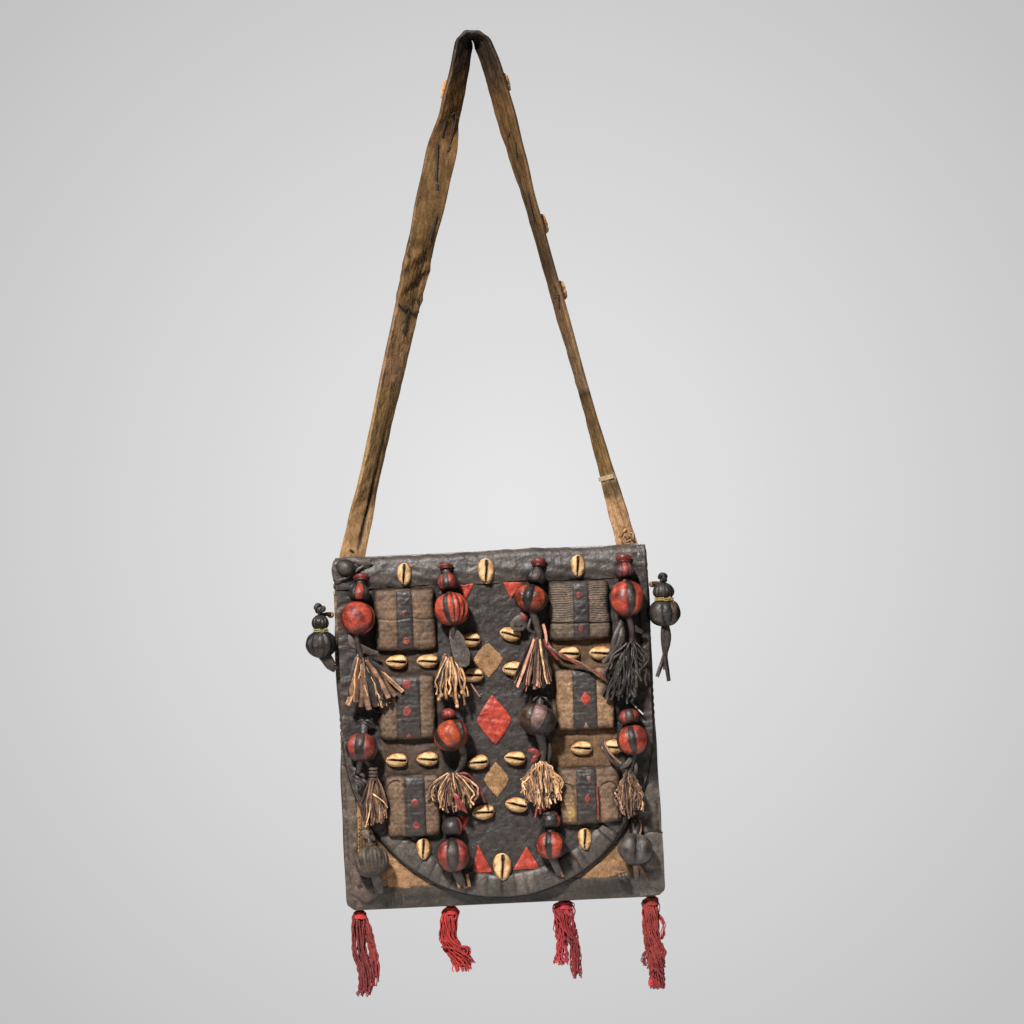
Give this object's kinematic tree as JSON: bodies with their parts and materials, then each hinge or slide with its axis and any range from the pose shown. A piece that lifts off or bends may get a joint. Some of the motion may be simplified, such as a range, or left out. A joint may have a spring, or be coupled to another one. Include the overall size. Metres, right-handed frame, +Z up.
{
  "type": "diviner bag",
  "caption": "Flat leather shoulder bag with a rounded flap covered in stitched packets, stuffed ball pendants with strip tassels and cowrie shells, and red yarn tassels below.",
  "frame": {"origin": "underside of the strap where it turns over the peg that it hangs on", "axes": "+Z up along the hanging strap, -Y out of the front of the bag, +X to the right seen from the front"},
  "size_m": [0.3256, 0.0671, 0.8483],
  "materials": {
    "black_leather": "worn satin",
    "brown_leather": "matt, stitched",
    "tan_leather": "matt, worn",
    "red_ball_leather": "dyed, worn",
    "dark_ball_leather": "matt",
    "cowrie_shell": "polished",
    "red_yarn": "twisted yarn"
  },
  "bodies": {
    "bag": {"back_panel": "brown_leather", "bottom_gusset": "black_leather", "front_panel": "tan_leather", "shoulder_strap": "tan_leather", "side_gusset_left": "black_leather", "side_gusset_right": "black_leather", "strap_cowrie_1": "cowrie_shell", "strap_cowrie_2": "cowrie_shell", "strap_cowrie_3": "cowrie_shell", "strap_cowrie_4": "cowrie_shell"},
    "flap": {"corner_wrap": "black_leather", "cowrie_band_left": "cowrie_shell", "cowrie_band_middle": "cowrie_shell", "cowrie_band_right": "cowrie_shell", "cowrie_bottom": "cowrie_shell", "cowrie_left_1": "cowrie_shell", "cowrie_left_2": "cowrie_shell", "cowrie_left_3": "cowrie_shell", "cowrie_left_4": "cowrie_shell", "cowrie_left_5": "cowrie_shell", "cowrie_middle_1": "cowrie_shell", "cowrie_middle_2": "cowrie_shell", "cowrie_middle_3": "cowrie_shell", "cowrie_middle_4": "cowrie_shell", "cowrie_middle_5": "cowrie_shell", "cowrie_middle_6": "cowrie_shell", "cowrie_middle_7": "cowrie_shell", "cowrie_middle_8": "cowrie_shell", "cowrie_right_1": "cowrie_shell", "cowrie_right_2": "cowrie_shell", "cowrie_right_3": "cowrie_shell", "cowrie_right_4": "cowrie_shell", "cowrie_right_5": "cowrie_shell", "flap_panel": "black_leather", "flap_rim": "black_leather", "packet_left_lower": "brown_leather", "packet_left_middle": "brown_leather", "packet_left_upper": "brown_leather", "packet_right_lower": "brown_leather", "packet_right_middle": "brown_leather", "packet_right_upper": "brown_leather", "top_band": "black_leather"},
    "pendant_outer_left_upper": {"pendant_outer_left_upper": "red_ball_leather"},
    "pendant_outer_left_lower": {"pendant_outer_left_lower": "red_ball_leather"},
    "pendant_inner_left_upper": {"pendant_inner_left_upper": "red_ball_leather"},
    "pendant_inner_left_middle": {"pendant_inner_left_middle": "red_ball_leather"},
    "pendant_inner_left_lower": {"pendant_inner_left_lower": "red_ball_leather"},
    "pendant_inner_right_upper": {"pendant_inner_right_upper": "red_ball_leather"},
    "pendant_inner_right_middle": {"pendant_inner_right_middle": "dark_ball_leather"},
    "pendant_inner_right_lower": {"pendant_inner_right_lower": "red_ball_leather"},
    "pendant_outer_right_upper": {"pendant_outer_right_upper": "red_ball_leather"},
    "pendant_outer_right_lower": {"pendant_outer_right_lower": "red_ball_leather"},
    "pendant_low_left": {"pendant_low_left": "dark_ball_leather"},
    "pendant_low_right": {"pendant_low_right": "dark_ball_leather"},
    "pendant_side_left": {"pendant_side_left": "dark_ball_leather"},
    "pendant_side_right": {"pendant_side_right": "dark_ball_leather"},
    "yarn_tassel_1": {"yarn_tassel_1": "red_yarn"},
    "yarn_tassel_2": {"yarn_tassel_2": "red_yarn"},
    "yarn_tassel_3": {"yarn_tassel_3": "red_yarn"},
    "yarn_tassel_4": {"yarn_tassel_4": "red_yarn"}
  },
  "joints": [
    {"name": "flap_hinge", "type": "hinge", "parent": "bag", "child": "flap", "pos_m": [-0.005, 0.0063, -0.4535], "axis": [-1, 0, 0], "range_deg": [0, 80]},
    {"name": "outer_left_upper_swing", "type": "hinge", "parent": "flap", "child": "pendant_outer_left_upper", "pos_m": [-0.118, -0.0239, -0.4695], "axis": [-1, 0, 0], "range_deg": [0, 50]},
    {"name": "outer_left_lower_swing", "type": "hinge", "parent": "flap", "child": "pendant_outer_left_lower", "pos_m": [-0.121, -0.0239, -0.599], "axis": [-1, 0, 0], "range_deg": [0, 50]},
    {"name": "inner_left_upper_swing", "type": "hinge", "parent": "flap", "child": "pendant_inner_left_upper", "pos_m": [-0.0435, -0.0239, -0.465], "axis": [-1, 0, 0], "range_deg": [0, 50]},
    {"name": "inner_left_middle_swing", "type": "hinge", "parent": "flap", "child": "pendant_inner_left_middle", "pos_m": [-0.0475, -0.0249, -0.5935], "axis": [-1, 0, 0], "range_deg": [0, 50]},
    {"name": "inner_left_lower_swing", "type": "hinge", "parent": "flap", "child": "pendant_inner_left_lower", "pos_m": [-0.0485, -0.0271, -0.691], "axis": [-1, 0, 0], "range_deg": [0, 50]},
    {"name": "inner_right_upper_swing", "type": "hinge", "parent": "flap", "child": "pendant_inner_right_upper", "pos_m": [0.0375, -0.0239, -0.4655], "axis": [-1, 0, 0], "range_deg": [0, 50]},
    {"name": "inner_right_middle_swing", "type": "hinge", "parent": "flap", "child": "pendant_inner_right_middle", "pos_m": [0.0335, -0.0239, -0.585], "axis": [-1, 0, 0], "range_deg": [0, 50]},
    {"name": "inner_right_lower_swing", "type": "hinge", "parent": "flap", "child": "pendant_inner_right_lower", "pos_m": [0.0375, -0.0263, -0.689], "axis": [-1, 0, 0], "range_deg": [0, 50]},
    {"name": "outer_right_upper_swing", "type": "hinge", "parent": "flap", "child": "pendant_outer_right_upper", "pos_m": [0.112, -0.0239, -0.4645], "axis": [-1, 0, 0], "range_deg": [0, 50]},
    {"name": "outer_right_lower_swing", "type": "hinge", "parent": "flap", "child": "pendant_outer_right_lower", "pos_m": [0.11, -0.0279, -0.6025], "axis": [-1, 0, 0], "range_deg": [0, 50]},
    {"name": "low_left_swing", "type": "hinge", "parent": "bag", "child": "pendant_low_left", "pos_m": [-0.122, -0.0198, -0.696], "axis": [-1, 0, 0], "range_deg": [0, 40]},
    {"name": "low_right_swing", "type": "hinge", "parent": "bag", "child": "pendant_low_right", "pos_m": [0.112, -0.0198, -0.696], "axis": [-1, 0, 0], "range_deg": [0, 40]},
    {"name": "side_left_swing", "type": "hinge", "parent": "bag", "child": "pendant_side_left", "pos_m": [-0.14519, -0.0104, -0.5015], "axis": [0, 1, 0], "range_deg": [0, 45]},
    {"name": "side_right_swing", "type": "hinge", "parent": "bag", "child": "pendant_side_right", "pos_m": [0.13519, -0.0104, -0.488], "axis": [0, -1, 0], "range_deg": [0, 45]},
    {"name": "yarn_tassel_1_swing", "type": "hinge", "parent": "bag", "child": "yarn_tassel_1", "pos_m": [-0.133, 0, -0.7643], "axis": [1, 0, 0], "range_deg": [-40, 40]},
    {"name": "yarn_tassel_2_swing", "type": "hinge", "parent": "bag", "child": "yarn_tassel_2", "pos_m": [-0.0535, 0, -0.7643], "axis": [1, 0, 0], "range_deg": [-40, 40]},
    {"name": "yarn_tassel_3_swing", "type": "hinge", "parent": "bag", "child": "yarn_tassel_3", "pos_m": [0.0465, 0, -0.7643], "axis": [1, 0, 0], "range_deg": [-40, 40]},
    {"name": "yarn_tassel_4_swing", "type": "hinge", "parent": "bag", "child": "yarn_tassel_4", "pos_m": [0.123, 0, -0.7643], "axis": [1, 0, 0], "range_deg": [-40, 40]}
  ]
}
